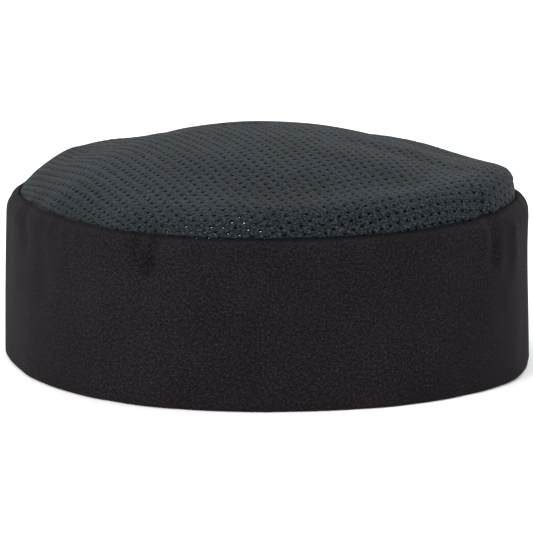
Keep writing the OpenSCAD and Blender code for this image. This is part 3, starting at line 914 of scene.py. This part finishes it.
def arch_row(name, depth):
    """The stitches of the arch's binding, above the strap."""
    r = ARCH_R + BINDING_W - 0.001
    first = math.asin((STRAP_Z + STRAP_H + EDGE - ARCH_SIDE) / r)
    count = int((math.pi - 2 * first) * r / PITCH)
    angles = first + (math.pi - 2 * first) * (np.arange(count) + 0.5) / count
    spots = [(r * math.cos(a), ARCH_SIDE + r * math.sin(a), -math.sin(a), math.cos(a)) for a in angles]
    return back_row(name, spots, depth)


sweat_stitches = round_row(
    "sweatband_thread", SWEAT_FACE + SWEAT_T - 0.0002, STITCH_LINE, SWEAT_END_X + EDGE)
seam_stitches = round_row("crown_seam_thread", TAPE_BACK + 0.00005, TAPE_FOOT + TAPE_H - EDGE)
arch_stitches = arch_row("arch_binding_thread", -GAP - BINDING_T)
root_stitches = boxed("strap_root_thread", (ROOT_X, ROOT_END), STRAP_Z, STRAP_H, STRAP_FACE + 0.00005)
hook_stitches = boxed("hook_tape_thread", HOOK_X, TAPES_Z, TAPES_H, STRAP_FACE + 0.00005)
loop_stitches = boxed(
    "loop_tape_thread", LOOP_X, TAPES_Z, TAPES_H, UNDER_FACE + STRAP_T - 0.00005, outside=False)


# -------------------------------------------------------------------- materials
# How dark the painted shade in the crown seam's crease is, and half its width
SEAM_SHADE, SEAM_SHADE_W = 0.9, 0.00055


class Nodes:
    """A short way to write a material's nodes."""

    def __init__(self, name):
        self.mat = bpy.data.materials.new(name)
        self.mat.use_nodes = True
        self.tree = self.mat.node_tree
        self.tree.nodes.clear()
        self.out = self.tree.nodes.new("ShaderNodeOutputMaterial")
        self.bsdf = self.tree.nodes.new("ShaderNodeBsdfPrincipled")
        self.link(self.bsdf.outputs["BSDF"], self.out.inputs["Surface"])

    def link(self, a, b):
        self.tree.links.new(a, b)

    def put(self, socket, value):
        if hasattr(value, "is_linked"):
            self.link(value, socket)
        else:
            socket.default_value = value

    def node(self, kind, **settings):
        n = self.tree.nodes.new("ShaderNode" + kind)
        for key, value in settings.items():
            setattr(n, key, value)
        return n

    def weave(self):
        uv = self.node("UVMap", uv_map="weave").outputs["UV"]
        return uv, *self.split(uv)[:2]

    def split(self, vector):
        n = self.node("SeparateXYZ")
        self.link(vector, n.inputs[0])
        return n.outputs["X"], n.outputs["Y"], n.outputs["Z"]

    def math(self, op, *values):
        n = self.node("Math", operation=op)
        for socket, value in zip(n.inputs, values):
            self.put(socket, value)
        return n.outputs[0]

    def weighted(self, *terms):
        """A sum of values, each times its weight."""
        total, *rest = [self.math("MULTIPLY", value, weight) for value, weight in terms]
        for value in rest:
            total = self.math("ADD", total, value)
        return total

    def ribs(self, *terms, wander=None):
        """A sine wave over a sum of places, each given with its wave's length."""
        total = self.weighted(*[(place, 2 * math.pi / length) for place, length in terms])
        if wander is not None:
            total = self.math("ADD", total, wander)
        return self.math("SINE", total)

    def half(self, wave):
        """A wave from -1 to 1 brought between 0 and 1."""
        return self.math("MULTIPLY_ADD", wave, 0.5, 0.5)

    def astray(self, value, amount):
        """A noise made an uneven shift to either side."""
        return self.math("MULTIPLY", self.math("SUBTRACT", value, 0.5), amount)

    def slanted(self, u, v, slope):
        """Places across and along lines that rise at a slope."""
        c, s = math.cos(slope), math.sin(slope)
        across = self.math("SUBTRACT", self.math("MULTIPLY", v, c), self.math("MULTIPLY", u, s))
        return across, self.weighted((u, c), (v, s))

    def bell(self, value, wide):
        """1 where the value is 0, falling away on both sides."""
        away = self.math("POWER", self.math("ABSOLUTE", self.math("DIVIDE", value, wide)), 2.0)
        return self.math("EXPONENT", self.math("MULTIPLY", away, -1.0))

    def noise(self, vector, scale, detail=2.0, rough=0.5):
        n = self.node("TexNoise")
        self.put(n.inputs["Vector"], vector)
        n.inputs["Scale"].default_value = scale
        n.inputs["Detail"].default_value = detail
        n.inputs["Roughness"].default_value = rough
        return n.outputs["Fac"]

    def place(self):
        return self.node("TexCoord").outputs["Object"]

    def ramp(self, value, stops):
        n = self.node("ValToRGB")
        self.link(value, n.inputs["Fac"])
        while len(n.color_ramp.elements) < len(stops):
            n.color_ramp.elements.new(0.5)
        for e, (at, colour) in zip(n.color_ramp.elements, stops):
            e.position, e.color = at, (*colour, 1)
        return n.outputs["Color"]

    def between(self, value, low, high, to_low, to_high):
        n = self.node("MapRange")
        for socket, v in zip(n.inputs, (value, low, high, to_low, to_high)):
            self.put(socket, v)
        return n.outputs[0]

    def darkened(self, colour, amount, dark):
        """A colour mixed with a dark grey."""
        mix = self.node("Mix", data_type="RGBA")
        self.link(amount, mix.inputs[0])
        self.link(colour, mix.inputs[6])
        mix.inputs[7].default_value = (dark, dark, dark, 1)
        return mix.outputs[2]

    def hole_shade(self, colour, u, v):
        """Paints shade down the sides of the crown's holes and round their rims, where they fall dark."""
        (ax, ay), (bx, by) = LATTICE_A, LATTICE_B
        wide, tall = HOLE_STRETCH
        det = ax * by - ay * bx
        p = self.math("WRAP", self.weighted((u, by / det), (v, -bx / det)), 0.5, -0.5)
        q = self.math("WRAP", self.weighted((v, ax / det), (u, -ay / det)), 0.5, -0.5)
        x = self.weighted((p, ax / wide), (q, bx / wide))
        y = self.weighted((p, ay / tall), (q, by / tall))
        away = self.math("SQRT", self.weighted((x, x), (y, y)))
        # painted shade: near black down the hole walls, fading out over the rim
        return self.darkened(colour, self.between(away, HOLE_R * 1.10, HOLE_R * 1.38, 0.92, 0.0), 0.0)

    def painted_seam_shade(self, colour):
        """Paints shade into a colour along the crease of the crown seam, which rises as settle has it."""
        x, y, z = self.split(self.place())
        angle = self.math("ARCTAN2", self.math("SUBTRACT", y, PLAN_Y), x)
        over = self.math("SUBTRACT", z, SEAM_Z)
        for at, wide, height in SEAM_LIFTS:
            turned = self.math("WRAP", self.math("SUBTRACT", angle, at), math.pi, -math.pi)
            over = self.math("SUBTRACT", over, self.math("MULTIPLY", self.bell(turned, wide), height))
        # painted shade: the colour darkens in a narrow band along the seam's crease
        amount = self.math("MULTIPLY", self.bell(over, SEAM_SHADE_W), SEAM_SHADE)
        return self.darkened(colour, amount, 0.0015)

    def bump(self, height, distance, strength=1.0, normal=None):
        n = self.node("Bump")
        n.inputs["Strength"].default_value = strength
        n.inputs["Distance"].default_value = distance
        self.link(height, n.inputs["Height"])
        if normal is not None:
            self.link(normal, n.inputs["Normal"])
        return n.outputs["Normal"]

    def surface(self, colour, rough, normal, sheen, sheen_rough, sheen_tint, specular):
        b = self.bsdf.inputs
        self.put(b["Base Color"], colour)
        self.put(b["Roughness"], rough)
        self.link(normal, b["Normal"])
        b["Sheen Weight"].default_value = sheen
        b["Sheen Roughness"].default_value = sheen_rough
        b["Sheen Tint"].default_value = (*sheen_tint, 1)
        b["Specular IOR Level"].default_value = specular
        return self.mat


def scaled(colour, k):
    return tuple(c * k for c in colour)


def twill(name, colour, pitch, slope, sheen, lint=0.8, seam=False):
    """A twill: slanting ribs of yarn, each crossed by fine turns, with a soft unevenness."""
    t = Nodes(name)
    uv, u, v = t.weave()
    up, along = t.slanted(u, v, slope)
    rib = t.half(t.ribs((up, pitch), wander=t.astray(t.noise(uv, 900.0, 1.0), 1.3)))
    rung = t.half(t.ribs((along, pitch * 0.62), (up, pitch * 2)))
    height = t.math("MULTIPLY", rib, t.math("MULTIPLY_ADD", rung, 0.35, 0.65))
    fibre = t.between(t.noise(uv, 1150.0, 2.0, 0.8), 0.39, 0.61, 0.0, 1.0)
    patch = t.noise(t.place(), 38.0, 4.0, 0.6)
    specks = t.between(t.noise(uv, 1900.0, 1.0, 0.6), 0.62, 0.80, 0.0, lint)
    tone = t.math("ADD", t.weighted((height, 0.18), (fibre, 0.52), (patch, 0.30)), specks)
    stops = [(0.15, 0.30), (0.48, 1.0), (0.80, 2.1), (1.0, 4.6)]
    base = t.ramp(tone, [(at, scaled(colour, k)) for at, k in stops])
    # with seam set, shade is painted into the colour along the crown seam's crease
    if seam:
        base = t.painted_seam_shade(base)
    normal = t.bump(t.math("ADD", height, t.math("MULTIPLY", fibre, 0.35)), pitch * 0.22, 0.9)
    normal = t.bump(t.noise(t.place(), 140.0, 3.0, 0.55), 0.0008, 0.35, normal)
    roughness = t.between(fibre, 0.3, 0.7, 0.75, 0.95)
    return t.surface(base, roughness, normal, sheen, 0.45, (1.0, 0.88, 1.0), 0.05)


def knit(name, colour):
    """The crown's smooth knit between its holes: fine slanting rows of loops, with shade painted down the
    holes and along the seam's crease.
    """
    t = Nodes(name)
    uv, u, v = t.weave()
    across, along = t.slanted(u, v, math.radians(24))
    row = t.half(t.ribs((across, 0.00105), wander=t.astray(t.noise(uv, 420.0, 2.0), 9.0)))
    turns = t.ribs((along, 0.0013), (across, 0.0021))
    height = t.math("MULTIPLY", row, t.math("MULTIPLY_ADD", turns, 0.3, 0.7))
    fibre = t.between(t.noise(uv, 950.0, 2.0, 0.8), 0.40, 0.60, 0.0, 1.0)
    patch = t.noise(t.place(), 30.0, 3.0, 0.6)
    tone = t.weighted((height, 0.16), (fibre, 0.54), (patch, 0.30))
    base = t.ramp(tone, [(0.16, scaled(colour, 0.12)), (0.50, colour), (0.82, scaled(colour, 3.8))])
    # painted shade along the seam's crease and down the holes
    base = t.hole_shade(t.painted_seam_shade(base), u, v)
    normal = t.bump(t.weighted((height, 0.5), (fibre, 0.6)), 0.00030)
    roughness = t.between(fibre, 0.3, 0.7, 0.55, 0.75)
    return t.surface(base, roughness, normal, 0.026, 0.4, (0.84, 0.96, 1.0), 0.06)


def woven(name, colour, pitch, sheen, rough, contrast=1.0):
    """A plain weave: yarns over and under each other."""
    t = Nodes(name)
    uv, u, v = t.weave()
    check = t.half(t.math("MULTIPLY", t.ribs((u, pitch)), t.ribs((v, pitch))))
    fibre = t.noise(uv, 3000.0, 2.0, 0.7)
    patch = t.noise(t.place(), 45.0, 3.0, 0.6)
    tone = t.weighted((check, 0.35 * contrast), (fibre, 0.45), (patch, 0.30))
    base = t.ramp(tone, [(0.2, scaled(colour, 0.6)), (0.55, colour), (0.9, scaled(colour, 1.5))])
    normal = t.bump(t.math("ADD", check, t.math("MULTIPLY", fibre, 0.4)), pitch * 0.2, 0.8)
    roughness = t.between(fibre, 0.3, 0.7, rough - 0.1, min(rough + 0.1, 1.0))
    return t.surface(base, roughness, normal, sheen, 0.5, (1, 1, 1), 0.1)


def twisted(name, colour):
    """Sewing thread: two plies twisted round each other."""
    t = Nodes(name)
    uv, u, v = t.weave()
    ply = t.half(t.ribs((u, 0.0006), (v, 0.0005)))
    base = t.ramp(ply, [(0.0, scaled(colour, 0.6)), (1.0, scaled(colour, 1.4))])
    roughness = t.between(t.noise(uv, 9000.0, 2.0, 0.6), 0.3, 0.7, 0.42, 0.6)
    return t.surface(base, roughness, t.bump(ply, 0.00005, 0.8), 0.02, 0.4, (1, 1, 1), 0.15)


def nylon(name, colour):
    """Filaments of nylon, with a faint mottle."""
    t = Nodes(name)
    patch = t.noise(t.place(), 900.0, 2.0, 0.6)
    base = t.ramp(patch, [(0.3, scaled(colour, 0.7)), (0.7, scaled(colour, 1.4))])
    roughness = t.between(patch, 0.3, 0.7, 0.3, 0.45)
    return t.surface(base, roughness, t.bump(patch, 0.00003, 0.5), 0.0, 0.5, (1, 1, 1), 0.5)


TWILL_BLACK = (0.0073, 0.0058, 0.0073)
MESH_GREY = (0.0084, 0.0110, 0.0134)
# the band's twill has shade painted along the crown seam's crease
band_mat = twill("band twill", TWILL_BLACK, 0.0008, math.radians(33), 0.007, seam=True)
strap_mat = twill("strap twill", TWILL_BLACK, 0.0008, math.radians(33), 0.007)
lining_mat = twill(
    "lining twill", scaled(TWILL_BLACK, 1.1), 0.0007, math.radians(40), 0.015, lint=0.15)
crown_mat = knit("crown knit", MESH_GREY)
sweat_mat = woven("brushed sweatband cloth", (0.0085, 0.0085, 0.0095), 0.0011, 0.03, 0.9)
inter_mat = woven("stiff interlining", (0.016, 0.016, 0.016), 0.0007, 0.02, 0.9)
tape_mat = woven("seam tape", (0.0052, 0.0050, 0.0056), 0.0006, 0.012, 0.8)
thread_mat = twisted("black thread", (0.0150, 0.0140, 0.0155))
hook_mat = nylon("hook nylon", (0.013, 0.013, 0.0145))
hook_base_mat = woven("hook tape base", (0.0070, 0.0070, 0.0078), 0.0006, 0.01, 0.7)
pile_mat = nylon("loop pile", (0.015, 0.015, 0.0165))
pile_base_mat = woven("loop tape base", (0.0065, 0.0065, 0.0072), 0.0006, 0.02, 0.9)
label_mat = woven("label satin", (0.60, 0.60, 0.57), 0.00045, 0.1, 0.45, 0.4)


def wear(obj, mat, slot_name, body, *nodes):
    """Gives a piece its material and its place in the part."""
    obj.data.materials.append(mat)
    if body:
        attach(obj, body)
    if nodes:
        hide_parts(*nodes)


wear(band, band_mat, "band_twill", "cap", "band_shell")
wear(interlining, inter_mat, "interlining", "cap", "band_interlining")
wear(lining, lining_mat, "lining_twill", "cap", "band_lining")
wear(sweatband, sweat_mat, "sweatband_cloth", "cap", "sweatband")
wear(sweat_stitches, thread_mat, "thread", "cap", "sweatband_stitches")
wear(crown, crown_mat, "crown_mesh", "cap", "crown_panel")
wear(seam_tape, tape_mat, "seam_tape", "cap", "crown_seam_tape")
wear(seam_stitches, thread_mat, "thread", "cap", "crown_seam_stitches")
wear(binding, tape_mat, "seam_tape", "cap", "arch_binding")
wear(arch_stitches, thread_mat, "thread", "cap", "arch_binding_stitches")
wear(under, strap_mat, "band_twill", "cap", "under_strap")
wear(loop_base, pile_base_mat, "loop_pile", "cap", "loop_tape")
wear(loops, pile_mat, "loop_pile", "cap")
wear(loop_stitches, thread_mat, "thread", "cap", "loop_tape_stitches")
wear(hook_base, hook_base_mat, "hook_nylon", "strap", "hook_tape")
wear(hooks, hook_mat, "hook_nylon", "strap")
wear(hook_stitches, thread_mat, "thread", "strap", "hook_tape_stitches")
wear(root_stitches, thread_mat, "thread", "cap", "strap_root_stitches")
wear(label, label_mat, "label_satin", "cap", "size_label")
wear(strap, strap_mat, "band_twill", None, "over_strap", "strap_root")

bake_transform(strap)

# ------------------------------------------------------------------------ stage
h = 30.0
floor_mesh = bpy.data.meshes.new("floor")
floor_mesh.from_pydata([(-h, -h, 0), (h, -h, 0), (h, h, 0), (-h, h, 0)], [], [(0, 1, 2, 3)])
floor = bpy.data.objects.new("floor", floor_mesh)
bpy.context.scene.collection.objects.link(floor)
floor.location.z = -0.0002
ground = Nodes("pale floor")
ground.bsdf.inputs["Base Color"].default_value = (0.93, 0.93, 0.93, 1)
ground.bsdf.inputs["Roughness"].default_value = 0.9
ground.bsdf.inputs["Specular IOR Level"].default_value = 0.1
floor.data.materials.append(ground.mat)

world = bpy.data.worlds.new("studio")
bpy.context.scene.world = world
world.use_nodes = True
sky = world.node_tree.nodes["Background"].inputs
sky["Color"].default_value = (1, 1, 1, 1)
sky["Strength"].default_value = 1.05

LIT = Vector((0, 0, 0.04))


def softbox(name, place, size, power):
    """A rectangular lamp that faces the cap."""
    light = bpy.data.lights.new(name, "AREA")
    light.shape = "RECTANGLE"
    light.size, light.size_y = size
    light.energy = power
    obj = bpy.data.objects.new(name, light)
    obj.location = place
    obj.rotation_mode = "QUATERNION"
    obj.rotation_quaternion = (Vector(place) - LIT).to_track_quat("Z", "Y")
    bpy.context.scene.collection.objects.link(obj)


softbox("key", (-1.1, -1.0, 0.75), (0.8, 0.8), 22)
softbox("fill", (1.2, -0.45, 0.6), (0.6, 0.8), 6)
softbox("top", (0.1, 0.8, 1.4), (1.2, 0.8), 9)

# ----------------------------------------------------------------------- camera
CAMERA_AZIMUTH, CAMERA_AWAY, CAMERA_HEIGHT, CAMERA_PITCH = 0.23, 1.410, 0.2897, 0.181
cam_data = bpy.data.cameras.new("camera")
cam_data.lens = 266.1
cam_data.sensor_width = 36
cam = bpy.data.objects.new("camera", cam_data)
bpy.context.scene.collection.objects.link(cam)
cam.location = (
    -math.sin(CAMERA_AZIMUTH) * CAMERA_AWAY,
    PLAN_Y - math.cos(CAMERA_AZIMUTH) * CAMERA_AWAY,
    CAMERA_HEIGHT,
)
cam.rotation_mode = "XYZ"
cam.rotation_euler = (math.pi / 2 - CAMERA_PITCH, 0, -CAMERA_AZIMUTH)
cam_data.clip_start, cam_data.clip_end = 0.05, 100
bpy.context.scene.camera = cam
bpy.context.scene.view_settings.view_transform = "Standard"
